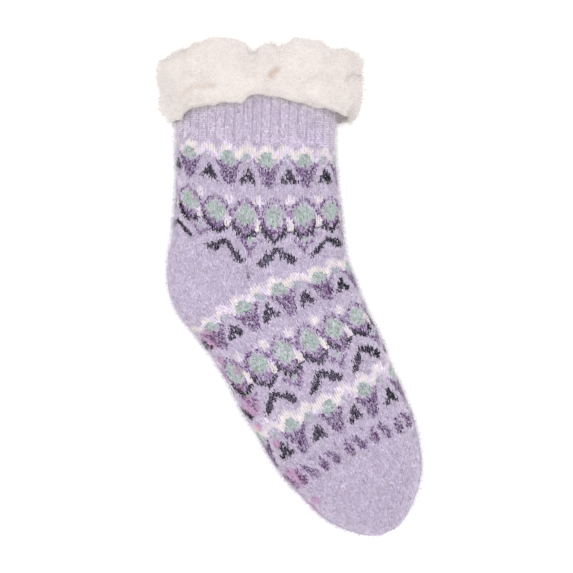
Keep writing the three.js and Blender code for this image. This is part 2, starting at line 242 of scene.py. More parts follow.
SPROUT = [
    "q...m...q",
    "pq.mmm.qp",
    ".pq.m.qp.",
    "..pq.qp..",
    "..qp.pq..",
    "...ppp...",
    "...qpq...",
    "....p....",
    "....q....",
]
ARCH = [
    "......kkb......",
    ".....kkkkk.....",
    "....bkkkkkk....",
    "...kkkb.kkkkb..",
    "..bkkk...bkkk..",
    "..kkkb....kkkk.",
    ".kkkk.....bkkkb",
    "bkkk.......kkkk",
    "kkb.........kk.",
]
TOE_ARCH = [
    "...pq.pp...",
    "..pp.qppp..",
    "..pq..qpp..",
    ".pppp..ppp.",
    ".pppp..pppp",
    ".pppp..pppp",
    ".qppp..pppq",
    "..pp....pp.",
]

slant = math.radians(FOOT_ANGLE)
ALONG_FOOT = np.array([math.cos(slant), -math.sin(slant)])
ACROSS_FOOT = np.array([math.sin(slant), math.cos(slant)])


def on_foot(along, across):
    return along * ALONG_FOOT + across * ACROSS_FOOT


def catmull_rom(points, t):
    """A centripetal Catmull-Rom curve through the points, at each t from 0 to 1."""
    padded = np.vstack([2 * points[0] - points[1], points, 2 * points[-1] - points[-2]])
    place = np.clip(t, 0, 1) * (len(points) - 1)
    k = np.minimum(place.astype(int), len(points) - 2)
    w = (place - k)[:, None]
    p0, p1, p2, p3 = padded[k], padded[k + 1], padded[k + 2], padded[k + 3]
    d0, d1, d2 = (
        np.linalg.norm(b - a, axis=1)[:, None] ** 0.5 for a, b in ((p0, p1), (p1, p2), (p2, p3))
    )
    m1 = ((p1 - p0) / d0 - (p2 - p0) / (d0 + d1) + (p2 - p1) / d1) * d1
    m2 = ((p2 - p1) / d1 - (p3 - p1) / (d1 + d2) + (p3 - p2) / d2) * d1
    return p1 + m1 * w + (3 * (p2 - p1) - 2 * m1 - m2) * w**2 + (2 * (p1 - p2) + m1 + m2) * w**3


# The outer surface as a fine lattice: rings from the collar to the toe, each starting at the back and sole edge,
# over the top to the front edge at half way and back underneath.
LATTICE_RINGS = 400
LATTICE_AROUND = 288
CAP_RINGS = 12
# How far the stitches stay inside the outline, where the fuzz stands out over it
EDGE_INSET = 1.7


def edge_keys():
    back = []
    front = []
    for up, front_up, b, f, thick, lift in LEG_SECTIONS:
        back.append((-b * LEG_WIDTH, up * LEG_HEIGHT, thick * THICKNESS))
        front.append((f * LEG_WIDTH, front_up * LEG_HEIGHT, lift * CUFF_PRESSED))
    for width, sole_along, sole, upper_along, upper, thick in FOOT_SECTIONS:
        back.append((*on_foot(sole_along * FOOT_LENGTH, -sole * width), thick * THICKNESS))
        front.append((*on_foot(upper_along * FOOT_LENGTH, upper * width), 0.0))
    return np.array(back), np.array(front)


def half_section(half_width, thick, lift, side):
    """Even steps over (side 1) or under (side -1) a section: run across from -1 to 1, and height."""
    edge = lift + EDGE_SHARE * thick
    reach = (1 - EDGE_SHARE) * thick if side > 0 else UNDER_REACH * EDGE_SHARE * thick
    turn = np.linspace(0, math.pi, 181)
    run = -np.sign(np.cos(turn)) * np.abs(np.cos(turn)) ** EDGE_FULLNESS
    height = np.maximum(lift, edge + side * reach * np.sin(turn))
    travelled = np.concatenate([[0], np.cumsum(np.hypot(np.diff(run * half_width), np.diff(height)))])
    even = np.linspace(0, travelled[-1], LATTICE_AROUND // 2 + 1)
    return np.interp(even, travelled, run), np.interp(even, travelled, height)


def make_lattice(inset):
    back_keys, front_keys = edge_keys()
    t = np.linspace(0, 1, LATTICE_RINGS + 1)
    back = catmull_rom(back_keys, t)
    front = catmull_rom(front_keys, t)
    places = np.zeros((LATTICE_RINGS + 1 + CAP_RINGS, LATTICE_AROUND, 3))
    runs = np.zeros((LATTICE_RINGS + 1 + CAP_RINGS, LATTICE_AROUND))
    for i in range(LATTICE_RINGS + 1):
        b, f, thick, lift = back[i, :2], front[i, :2], back[i, 2], max(0.0, front[i, 2])
        half_width = np.hypot(*(f - b)) / 2
        over_run, over_height = half_section(half_width, thick, lift, 1)
        under_run, under_height = half_section(half_width, thick, lift, -1)
        run = np.concatenate([over_run[:-1], under_run[:0:-1]])
        places[i, :, :2] = b + (f - b) * ((run * (1 - inset / half_width) + 1) / 2)[:, None]
        places[i, :, 2] = np.concatenate([over_height[:-1], under_height[:0:-1]])
        runs[i] = run
    last = places[LATTICE_RINGS]
    tip = np.array([*on_foot(TOE_TIP * FOOT_LENGTH - inset, 0), EDGE_SHARE * back[-1, 2]])
    middle = last.mean(0)
    for i in range(1, CAP_RINGS + 1):
        turn = math.pi / 2 * i / CAP_RINGS
        places[LATTICE_RINGS + i] = (
            middle + (last - middle) * max(0.02, math.cos(turn)) + (tip - middle) * math.sin(turn)
        )
        runs[LATTICE_RINGS + i] = runs[LATTICE_RINGS]
    return places, runs


OUTLINE, _ = make_lattice(0.0)
LATTICE, RUNS = make_lattice(EDGE_INSET)
LAST_RING = len(LATTICE) - 1


def smooth_step(x):
    x = np.clip(x, 0, 1)
    return x * x * (3 - 2 * x)


# Soft creases and swells on the upper side, listed one by one: from and to in millimetres from the heel point,
# depth (below the surface if more than 0) and width.
CREASES = [
    ((62, 12), (30, 2), 1.6, 7),
    ((58, 2), (38, -8), 1.0, 6),
    ((-44, 26), (-14, 12), 1.0, 8),
    ((-10, 108), (-6, 62), 0.8, 10),
    ((28, 104), (30, 70), 0.7, 9),
    ((-38, 98), (-40, 60), 0.8, 8),
    ((52, 92), (50, 60), 0.8, 8),
    ((8, -38), (34, -24), 0.7, 9),
    ((30, -78), (62, -58), 0.8, 10),
    ((60, -112), (70, -138), 0.9, 9),
    ((86, -108), (96, -140), 0.8, 9),
    ((-30, -14), (-44, -32), -1.0, 14),
]


def crease_depth(places):
    depth = np.zeros(places.shape[:-1])
    for start, end, deep, width in CREASES:
        a = np.array(start, float)
        b = np.array(end, float)
        line = b - a
        share = np.clip(((places[..., :2] - a) @ line) / (line @ line), 0, 1)
        nearest = a + share[..., None] * line
        away = np.linalg.norm(places[..., :2] - nearest, axis=-1)
        depth += deep * np.exp(-((away / width) ** 2))
    return depth


def put_creases():
    """Press the creases into the upper side of the lattice."""
    over = np.zeros(LATTICE_AROUND)
    half = LATTICE_AROUND // 2
    over[: half + 1] = np.sin(np.linspace(0, math.pi, half + 1)) ** 0.5
    LATTICE[..., 2] -= crease_depth(LATTICE) * over


put_creases()


def surface(ring, share):
    """A place on the outer surface: ring from 0 to LAST_RING, share from 0 to 1 round the section."""
    ring = np.clip(ring, 0, LAST_RING - 0.001)
    at = (share % 1) * LATTICE_AROUND
    r = ring.astype(int)
    a = at.astype(int) % LATTICE_AROUND
    b = (a + 1) % LATTICE_AROUND
    wr = (ring - r)[..., None]
    wa = (at - np.floor(at))[..., None]
    near = LATTICE[r, a] * (1 - wa) + LATTICE[r, b] * wa
    far = LATTICE[r + 1, a] * (1 - wa) + LATTICE[r + 1, b] * wa
    return near * (1 - wr) + far * wr


def unit(v):
    return v / np.maximum(np.linalg.norm(v, axis=-1, keepdims=True), 1e-9)


def surface_frame(ring, share):
    """Unit vectors down the sock, round it and out of it, at each place."""
    down = unit(surface(ring + 1.5, share) - surface(ring - 1.5, share))
    step = 1.0 / LATTICE_AROUND
    around = surface(ring, share + step) - surface(ring, share - step)
    out = unit(np.cross(down, around))
    return down, unit(np.cross(out, down)), out


# The drawing's origin, the heel point, in the frame
box_low, box_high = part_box("knit_sock")
ORIGIN = np.array(
    [
        box_low.x / MM - OUTLINE[..., 0].min(),
        box_high.y / MM - OUTLINE[..., 1].max(),
        0.0,
    ]
)


def linear(colour):
    c = np.asarray(colour, float) / 255
    return np.where(c <= 0.04045, c / 12.92, ((c + 0.055) / 1.055) ** 2.4)


def piece(name, points, faces, material, colours=None, floor=0.05, normals=None):
    """A mesh from arrays, in millimetres from the heel point, kept off the floor."""
    placed = points + ORIGIN
    placed[:, 2] = np.maximum(placed[:, 2], floor)
    mesh = bpy.data.meshes.new(name)
    mesh.vertices.add(len(placed))
    mesh.vertices.foreach_set("co", (placed * MM).astype(np.float32).ravel())
    mesh.loops.add(faces.size)
    mesh.loops.foreach_set("vertex_index", faces.astype(np.int32).ravel())
    mesh.polygons.add(len(faces))
    mesh.polygons.foreach_set("loop_start", np.arange(0, faces.size, faces.shape[1], dtype=np.int32))
    mesh.update(calc_edges=True)
    mesh.shade_smooth()
    if normals is not None:
        mesh.normals_split_custom_set_from_vertices(normals)
    if colours is not None:
        paint(mesh, colours)
    mesh.materials.append(material)
    made = bpy.data.objects.new(name, mesh)
    bpy.context.scene.collection.objects.link(made)
    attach(made, "root")
    return made


def paint(mesh, colours):
    rgba = np.ones((len(colours), 4), np.float32)
    rgba[:, :3] = colours
    layer = mesh.color_attributes.new("yarn", "FLOAT_COLOR", "POINT")
    layer.data.foreach_set("color", rgba.ravel())


# Materials


def material(name):
    made = bpy.data.materials.new(name)
    made.use_nodes = True
    nodes = made.node_tree.nodes
    return made, nodes, made.node_tree.links, nodes["Principled BSDF"]


def yarn_material(name, scale, bump, sheen, alpha=1.0, streaks=0.1):
    """Yarn coloured by its stitches, with streaks of fibre in colour and bump."""
    made, nodes, links, shader = material(name)
    colour = nodes.new("ShaderNodeVertexColor")
    colour.layer_name = "yarn"
    place = nodes.new("ShaderNodeTexCoord")
    fibre = nodes.new("ShaderNodeTexNoise")
    fibre.inputs["Scale"].default_value = scale
    fibre.inputs["Detail"].default_value = 3
    links.new(place.outputs["Object"], fibre.inputs["Vector"])
    shade = nodes.new("ShaderNodeMapRange")
    shade.inputs["From Min"].default_value = 0.3
    shade.inputs["From Max"].default_value = 0.7
    shade.inputs["To Min"].default_value = 1 - streaks
    shade.inputs["To Max"].default_value = 1 + 0.8 * streaks
    links.new(fibre.outputs["Fac"], shade.inputs["Value"])
    mix = nodes.new("ShaderNodeMix")
    mix.data_type = "RGBA"
    mix.blend_type = "MULTIPLY"
    mix.inputs["Factor"].default_value = 1
    links.new(colour.outputs["Color"], mix.inputs[6])
    links.new(shade.outputs["Result"], mix.inputs[7])
    links.new(mix.outputs[2], shader.inputs["Base Color"])
    relief = nodes.new("ShaderNodeBump")
    relief.inputs["Strength"].default_value = bump
    relief.inputs["Distance"].default_value = 0.0003
    links.new(fibre.outputs["Fac"], relief.inputs["Height"])
    links.new(relief.outputs["Normal"], shader.inputs["Normal"])
    shader.inputs["Roughness"].default_value = 0.95
    shader.inputs["Specular IOR Level"].default_value = 0.15
    shader.inputs["Sheen Weight"].default_value = sheen
    shader.inputs["Sheen Roughness"].default_value = 0.5
    shader.inputs["Alpha"].default_value = alpha
    return made


def silicone_material():
    made, nodes, links, shader = material("grip_silicone")
    place = nodes.new("ShaderNodeTexCoord")
    cloud = nodes.new("ShaderNodeTexNoise")
    cloud.inputs["Scale"].default_value = 260
    cloud.inputs["Detail"].default_value = 4
    links.new(place.outputs["Object"], cloud.inputs["Vector"])
    ramp = nodes.new("ShaderNodeValToRGB")
    ramp.color_ramp.elements[0].position = 0.3
    ramp.color_ramp.elements[0].color = (*linear((168, 96, 150)), 1)
    ramp.color_ramp.elements[1].position = 0.7
    ramp.color_ramp.elements[1].color = (*linear((206, 146, 190)), 1)
    links.new(cloud.outputs["Fac"], ramp.inputs["Fac"])
    links.new(ramp.outputs["Color"], shader.inputs["Base Color"])
    relief = nodes.new("ShaderNodeBump")
    relief.inputs["Strength"].default_value = 0.4
    relief.inputs["Distance"].default_value = 0.0004
    links.new(cloud.outputs["Fac"], relief.inputs["Height"])
    links.new(relief.outputs["Normal"], shader.inputs["Normal"])
    shader.inputs["Roughness"].default_value = 0.3
    shader.inputs["Alpha"].default_value = 0.06
    shader.inputs["Coat Weight"].default_value = 0.3
    shader.inputs["Coat Roughness"].default_value = 0.15
    return made


KNIT = yarn_material("knit_yarn", 1600, 0.5, 0.25)
FUZZ = yarn_material("yarn_fuzz", 900, 0.1, 0.25)
HALO = yarn_material("yarn_halo", 900, 0.0, 0.5, 0.38)
FLEECE = yarn_material("fleece_pile", 700, 0.1, 0.3, streaks=0.04)
PILE = yarn_material("fleece_fibres", 700, 0.0, 0.2, 0.19, streaks=0.03)
LINING = yarn_material("fleece_lining", 700, 0.9, 0.3)
SILICONE = silicone_material()

# Where the courses of stitches lie


def column_lengths(shares):
    """For each share round the sock, the length travelled down the surface to each ring of the lattice."""
    rings = np.arange(LAST_RING + 1.0)
    column = surface(rings[:, None], np.broadcast_to(shares, (len(rings), len(shares))))
    steps = np.linalg.norm(np.diff(column, axis=0), axis=-1)
    return column, np.vstack([np.zeros(len(shares)), np.cumsum(steps, axis=0)])


def column_runs(shares):
    at = (shares % 1) * LATTICE_AROUND
    a = at.astype(int) % LATTICE_AROUND
    b = (a + 1) % LATTICE_AROUND
    w = at - np.floor(at)
    return RUNS[:, a] * (1 - w) + RUNS[:, b] * w


def key_lengths(courses, shares, column, lengths, on_leg):
    """The length down each column at which each key course crosses it."""
    runs = column_runs(shares)
    measure = -column[..., 1] if on_leg else column[..., :2] @ ALONG_FOOT
    found = np.zeros((len(courses), len(shares)))
    for k, (_, *values) in enumerate(courses):
        curve = np.polyfit(COURSE_RUNS, values, len(values) - 1)
        for j in range(len(shares)):
            goal = np.polyval(curve, runs[:, j])
            off = measure[:, j] - (-goal if on_leg else goal)
            if on_leg:
                crossing = np.nonzero(off >= 0)[0][0]
            else:
                crossing = np.nonzero(off < 0)[0][-1] + 1
            crossing = min(max(crossing, 1), LAST_RING)
            w = off[crossing - 1] / (off[crossing - 1] - off[crossing]) if off[crossing] != off[crossing - 1] else 0
            w = min(max(w, 0), 1)
            found[k, j] = lengths[crossing - 1, j] * (1 - w) + lengths[crossing, j] * w
    return found


def rings_at(rows, keys, key_places, lengths):
    """The ring of the lattice that each row crosses in each column."""
    rings = np.arange(LAST_RING + 1.0)
    found = np.zeros((len(rows), key_places.shape[1]))
    for j in range(key_places.shape[1]):
        place = np.interp(rows, keys, key_places[:, j])
        found[:, j] = np.interp(place, lengths[:, j], rings)
    return found


def centres(first, pitch):
    """Wales on which a motif stands: by its pitch where it shows, and then evenly round to the first again."""
    shown = []
    while first + pitch * len(shown) < WALES / 2:
        shown.append(first + pitch * len(shown))
    span = first + WALES - shown[-1]
    hidden = max(1, round(span / pitch))
    rest = [shown[-1] + span * (i + 1) / hidden for i in range(hidden - 1)]
    return shown + rest


def stamp(grid, chart, row, wale):
    """Lay a chart on the grid with its middle on the wale and its first row on the row."""
    for i, line in enumerate(chart):
        for j, letter in enumerate(line):
            if letter != "." and 0 <= row + i < len(grid):
                grid[row + i, (round(wale) - len(line) // 2 + j) % grid.shape[1]] = letter


def zigzag(grid, row, peaks):
    """The white zigzag: a peak on each of the given wales and half way between them."""
    ring = peaks + [peaks[0] + WALES]
    for c0, c1 in zip(ring, ring[1:]):
        for wale in range(math.ceil(c0), math.ceil(c1)):
            place = (wale - c0) / (c1 - c0) * 2
            drop = (abs(place - round(place)) * 2) ** ZIGZAG_ROUND * ZIGZAG_DEPTH
            for i, letter in enumerate("lcccl"):
                grid[row + round(drop) + i, wale % WALES] = letter


def between(places):
    ring = places + [places[0] + WALES]
    return [(a + b) / 2 for a, b in zip(ring, ring[1:])]


def border(grid, row, tulips, medallions=None, arches=None):
    """One repeat of the border, from the white zigzag down to the arches."""
    zigzag(grid, row, tulips)
    for wale in tulips:
        stamp(grid, TULIP, row + 4, wale)
    for wale in between(tulips):
        stamp(grid, TREE, row + 5, wale)
    if medallions is None:
        return
    for wale in medallions:
        stamp(grid, MEDALLION, row + 25, wale)
    for wale in between(medallions):
        stamp(grid, [".l.", "lcl", "lcl", "lcl", ".l."], row + 24, wale)
        stamp(grid, ["l.", "cl", "cc", "cc", "cc", "cl"], row + 34, wale)
    for wale in arches:
        stamp(grid, ARCH, row + 47, wale)
    for wale in between(arches):
        stamp(grid, SPROUT, row + 43, wale)


def leg_grid():
    grid = np.full((58, WALES), ".")
    border(grid, 0, centres(10.3, 15.4), centres(9.7, 11.1), centres(5.3, 19.3))
    return grid


def foot_grid():
    grid = np.full((92, WALES), ".")
    border(grid, 2, centres(10.8, 15.05), centres(8.6, 11.0), centres(0.4, 19.55))
    border(grid, 59, centres(3.4, 16.7))
    arches = centres(2.0, 12.2)
    for wale in arches:
        stamp(grid, TOE_ARCH, 84, wale)
    for wale in between(arches):
        stamp(grid, ["q", "q"], 82, wale)
    return grid


PLAIN, RIBBED, ON_LEG, ON_FOOT = 0, 1, 2, 3
LEG_FIRST_ROW = 38
# Edges of a rib's four wales, as shares of the rib
RIB_EDGES = np.array([0, RIB_KNIT / 3, RIB_KNIT * 2 / 3, RIB_KNIT, 1])


def lay_courses():
    """Every stitch: ring, share, row's height, wale's width, how deep it lies in a rib, its chart and its row there."""
    sets = []
    leg_rows = [c[0] for c in LEG_COURSES]

    def lay(part, rings, shares, rows, wide=None, deep=None, chart=PLAIN):
        shares = np.broadcast_to(shares, rings.shape)
        rows = np.broadcast_to(np.asarray(rows, float)[:, None], rings.shape)
        places = surface(rings, shares)
        if wide is None:
            step = surface(rings, shares + 1.0 / WALES) - places
            wide = np.linalg.norm(step, axis=-1)
        if deep is None:
            deep = np.zeros(rings.shape)
        if len(rings) > 1:
            tall = np.linalg.norm(np.diff(places, axis=0), axis=-1)
            tall = np.vstack([tall, tall[-1:]])
        else:
            tall = np.full(rings.shape, ROW_PITCH)
        charts = np.full(rings.shape, chart)
        fields = [rings, shares, tall, np.broadcast_to(wide, rings.shape), np.broadcast_to(deep, rings.shape)]
        sets.append((part, [f.ravel() for f in fields + [charts, rows]]))

    middles = (RIB_EDGES[1:] + RIB_EDGES[:-1]) / 2
    shares = (np.arange(RIBS)[:, None] + middles).ravel() / RIBS
    column, lengths = column_lengths(shares)
    keys = key_lengths(LEG_COURSES, shares, column, lengths, True)
    rows = np.arange(11, LEG_FIRST_ROW)
    rings = rings_at(rows, leg_rows, keys, lengths)
    deep = np.tile((0.0, 0.0, 0.0, 1.0), RIBS)
    around = np.linalg.norm(surface(rings, shares + 0.5 / RIBS) - surface(rings, shares - 0.5 / RIBS), axis=-1)
    sway = np.cumsum(rng.normal(0, RIB_SWAY, (len(rows), RIBS)), axis=0)
    sway = np.repeat(sway - sway.mean(0), len(middles), axis=1) / WALES
    lay("leg", rings, shares + sway, rows, around * np.tile(np.diff(RIB_EDGES), RIBS), deep, RIBBED)

    shares = (np.arange(WALES) + 0.5) / WALES
    column, lengths = column_lengths(shares)
    leg_keys = key_lengths(LEG_COURSES, shares, column, lengths, True)
    foot_keys = key_lengths(FOOT_COURSES, shares, column, lengths, False)
    foot_keys[0] = np.maximum(foot_keys[0], leg_keys[-1] + ROW_PITCH)
    foot_keys[1] = np.maximum(foot_keys[1], foot_keys[0] + 2 * ROW_PITCH * 0.8)
    rows = np.arange(LEG_FIRST_ROW, leg_rows[-1] + 1)
    lay("leg", rings_at(rows, leg_rows, leg_keys, lengths), shares, rows - LEG_FIRST_ROW, chart=ON_LEG)

    all_rings = np.arange(LAST_RING + 1.0)
    for j, share in enumerate(shares):
        gap = foot_keys[0, j] - leg_keys[-1, j]
        count = round(gap / ROW_PITCH) - 1
        if min(share, 1 - share) > GORE_SHARE or count < 1:
            continue
        places = leg_keys[-1, j] + gap * (np.arange(count) + 1) / (count + 1)
        rings = np.interp(places, lengths[:, j], all_rings)[:, None]
        lay("leg", rings, np.array([share]), np.zeros(count))

    toe_keys = np.vstack([foot_keys, lengths[-1] - 1.0])
    numbers = [c[0] for c in FOOT_COURSES] + [FOOT_COURSES[-1][0] + TOE_ROWS]
    rows = np.arange(0, 92)
    lay("foot", rings_at(rows, numbers, toe_keys, lengths), shares, rows, chart=ON_FOOT)

    for first in range(92, numbers[-1], 4):
        rows = np.arange(first, min(first + 4, numbers[-1]))
        middle = rings_at(rows[:1], numbers, toe_keys, lengths).mean()
        ring_places = surface(np.full(LATTICE_AROUND, middle), np.arange(LATTICE_AROUND) / LATTICE_AROUND)
        girth = np.linalg.norm(ring_places - np.roll(ring_places, 1, axis=0), axis=1).sum()
        count = int(np.clip(girth / TOE_WALE, 10, WALES))
        toe_shares = (np.arange(count) + 0.5) / count
        _, toe_lengths = column_lengths(toe_shares)
        keys = np.array([np.interp(toe_shares, shares, k, period=1) for k in toe_keys])
        keys[-1] = toe_lengths[-1] - 1.0
        rings = rings_at(rows, numbers, keys, toe_lengths)
        lay("foot", rings, toe_shares, np.zeros(len(rows)), np.full(rings.shape, girth / count))
    return sets


# A leg of a stitch: across (of the wale's width), down (of the row's height), height (of the stitch's height)
FULL_LEG = np.array(
    [
        (0.06, 0.8, -0.9),
        (0.0, 0.36, -0.8),
        (0.2, 0.32, 0.95),
        (0.42, 0.4, -0.8),
        (0.08, -0.38, -0.8),
        (0.3, -0.3, 0.95),
        (0.52, -0.34, -0.8),
        (0.4, -0.78, -0.9),
    ]
)
FULL_FACES = np.array([(0, 2, 1), (0, 3, 2), (1, 2, 5), (1, 5, 4), (2, 3, 6), (2, 6, 5), (4, 5, 7), (5, 6, 7)])
PLAIN_LEG = np.array([(0.05, 0.95, -0.3), (0.02, 0.0, -0.8), (0.25, 0.0, 1.0), (0.5, 0.0, -0.8), (0.4, -0.95, -0.3)])
PLAIN_FACES = np.array([(0, 2, 1), (0, 3, 2), (1, 2, 4), (2, 3, 4)])
# Painted shade on the low sides of a stitch: what they keep of its red, green and blue
DEEP_SHADE = np.array([0.76, 0.735, 0.775])
RIB_STITCH = 0.76

LETTERS = list(YARNS)
YARN_TABLE = np.array([linear(YARNS[letter]) for letter in LETTERS])
UNEVEN_TABLE = np.array([UNEVEN[letter] for letter in LETTERS])
GROUND_TABLE = np.array([GROUND_IN.get(letter, 0.0) for letter in LETTERS])
BLOTCHY_TABLE = np.array([letter in BLOTCHY for letter in LETTERS])
PALE_TABLE = np.array([letter in PALE for letter in LETTERS])
SINK_TABLE = np.array([SOFT_SINK if letter in SOFT else 1.0 for letter in LETTERS])
FLECK_TABLE = np.array([FLECKS.get(letter, 0.0) for letter in LETTERS])

# Painted light and shade on the knit: a painted lighter band along the cuff's hem, which evens out the cuff's own
# shadow, a thin painted shadow line under the hem, and painted shadow in the slit where heel, leg and foot meet.
# From and to in millimetres from the heel point, width, and share of light lost, or gained if less than 0.
SHADES = [
    ((-49, 103), (-33, 111.5), 4.0, -0.2),
    ((-33, 111.5), (-6, 114.3), 4.0, -0.2),
    ((-6, 114.3), (0, 118.5), 4.0, -0.16),
    ((7, 121), (43, 112.5), 4.0, -0.2),
    ((43, 112.5), (62, 105), 4.0, -0.2),
    ((-49, 104), (-33, 112.5), 0.8, 0.12),
    ((-33, 112.5), (-6, 115.3), 0.8, 0.1),
    ((-6, 115.3), (0, 119.5), 0.8, 0.12),
    ((7, 122), (43, 113.5), 0.8, 0.1),
    ((43, 113.5), (62, 106), 0.8, 0.12),
    ((-0.5, 2.5), (0.5, -6.5), 0.6, 0.8),
]
SHADE_FLOOR = 20.0
# Painted light: how much lighter the yarn is painted where the sock turns down at its edges, for light its fuzz catches
EDGE_PAINTED_LIGHT = 0.22


def pad_spots():
    """Each grip pad's node name, size, and place along and across the sole."""
    spots = []
    for i, (size, along, across) in enumerate(GRIP_ROWS):
        name = f"grip_pad_{'large' if size == LARGE_GRIP else 'small'}_{i + 1:02d}"
        if across == 0:
            spots.append((name, size, along * FOOT_LENGTH, 0.0))
        else:
            spots.append((name + "_over", size, along * FOOT_LENGTH, across * SOLE_BAND))
            spots.append((name + "_under", size, along * FOOT_LENGTH, -across * SOLE_BAND))
    return spots


HEEL_RING = int(LATTICE_RINGS * (len(LEG_SECTIONS) + 3) / (len(LEG_SECTIONS) + len(FOOT_SECTIONS) - 1))
SOLE_RINGS = np.arange(HEEL_RING, LATTICE_RINGS + 1.0)
SOLE_ALONG = LATTICE[HEEL_RING : LATTICE_RINGS + 1, 0, :2] @ ALONG_FOOT


def on_sole(along, across):
    """Ring and share of a place so far along the sole's edge and so far over it."""
    ring = np.interp(along, SOLE_ALONG, SOLE_RINGS)
    row = LATTICE[np.round(ring).astype(int)]
    over = np.linalg.norm(row[..., 1, :] - row[..., 0, :], axis=-1)
    under = np.linalg.norm(row[..., -1, :] - row[..., 0, :], axis=-1)
    step = np.where(across < 0, under, over)
    return ring, across / step / LATTICE_AROUND


PAD_SPOTS = pad_spots()
PAD_TINT = linear((232, 150, 205)) * 1.15


def pad_tint(places):
    """How much of the pads' tint each place takes, from 0 to 1."""
    tint = np.zeros(len(places))
    for _, size, along, across in PAD_SPOTS:
        ring, share = on_sole(np.array([along]), np.array([across]))
        centre = surface(ring, share)[0]
        away = np.linalg.norm(places - centre, axis=1)
        tint = np.maximum(tint, smooth_step((size * 0.68 - away) / (size * 0.36)))
    return tint


CHARTS = {ON_LEG: leg_grid(), ON_FOOT: foot_grid()}


# Each half wale's own stray up or down
RAGGED = rng.normal(0, 0.4, 2 * WALES)


def yarn_at(charts, rows, shares, stray):
    """The yarn's number in LETTERS at each place of the charts, with the motifs' edges strayed by so many stitches."""
    straight = rows + rng.uniform(-stray, stray, len(rows))
    ragged = straight + RAGGED[np.floor(shares * 2 * WALES).astype(int) % len(RAGGED)]
    wales = shares * WALES + rng.uniform(-stray, stray, len(rows))
    found = np.where(charts == RIBBED, LETTERS.index("r"), 0)
    for chart, grid in CHARTS.items():
        numbers = np.vectorize(LETTERS.index)(grid)
        here = charts == chart
        wale = np.floor(wales[here]).astype(int) % WALES
        neat = numbers[np.clip(np.round(straight[here]).astype(int), 0, len(grid) - 1), wale]
        torn = numbers[np.clip(np.round(ragged[here]).astype(int), 0, len(grid) - 1), wale]
        found[here] = np.where(PALE_TABLE[neat] | PALE_TABLE[torn], neat, torn)
    return found


PATCHES = rng.normal(size=(32, 32, 32))


def patchy(places, size):
    """Smooth random values that change over about the given size."""
    cell = np.floor(places / size).astype(int)
    weight = smooth_step(places / size - cell)
    total = np.zeros(len(places))
    for corner in np.ndindex(2, 2, 2):
        share = np.prod(np.where(corner, weight, 1 - weight), axis=-1)
        index = (cell + corner) % len(PATCHES)
        total += share * PATCHES[index[:, 0], index[:, 1], index[:, 2]]
    return total


def line_share(places, start, end, width):
    """How near each place is to a line drawn on the upper side, from 0 to 1."""
    a = np.array(start, float)
    line = np.array(end, float) - a
    share = np.clip(((places[:, :2] - a) @ line) / (line @ line), 0, 1)
    away = np.linalg.norm(places[:, :2] - a - share[:, None] * line, axis=1)
    return np.exp(-((away / width) ** 2))


def shaded(places):
    """The share of light painted on each place by SHADES: painted shade below 1, painted light above."""
    gained = np.zeros(len(places))
    lost = np.zeros(len(places))
    for start, end, width, dark in SHADES:
        near = dark * line_share(places, start, end, width)
        gained = np.maximum(gained, -near)
        lost = np.maximum(lost, near)
    return 1 + (gained - lost) * (places[:, 2] > SHADE_FLOOR)


def strand_colours(yarns, places, out):
    """A colour for each strand: its yarn's, unevenly, with strands of the ground mixed in, and with painted light and
    shade.
    """
    base = YARN_TABLE[yarns].copy()
    blotch = np.where(BLOTCHY_TABLE[yarns], np.clip(1 + 3 * patchy(places, 2.8), 0, 5), 1)
    ground = rng.random(len(yarns)) < GROUND_TABLE[yarns] * blotch
    base[ground] = YARN_TABLE[0] * 1.1
    uneven = np.where(ground, UNEVEN_TABLE[0], UNEVEN_TABLE[yarns])[:, None]
    shade = 1 + uneven * rng.normal(size=(len(yarns), 1)) + 0.07 * patchy(places, 2.6)[:, None]
    warmth = 0.012 * patchy(places + 50, 4.0)[:, None] * np.array([1.0, -0.3, -0.8])
    # Painted light and shade: SHADES along the hem and in the slit, and painted light where the sock turns down at its
    # edges
    light = shaded(places) * (1 + EDGE_PAINTED_LIGHT * (1 - np.clip(out[:, 2], 0, 1)) ** 2)
    colours = base * np.clip(shade + warmth, 0.45, 1.7) * light[:, None]
    tint = 0.42 * pad_tint(places)[:, None]
    return np.clip(colours * (1 - tint + tint * PAD_TINT), 0.003, 0.97)


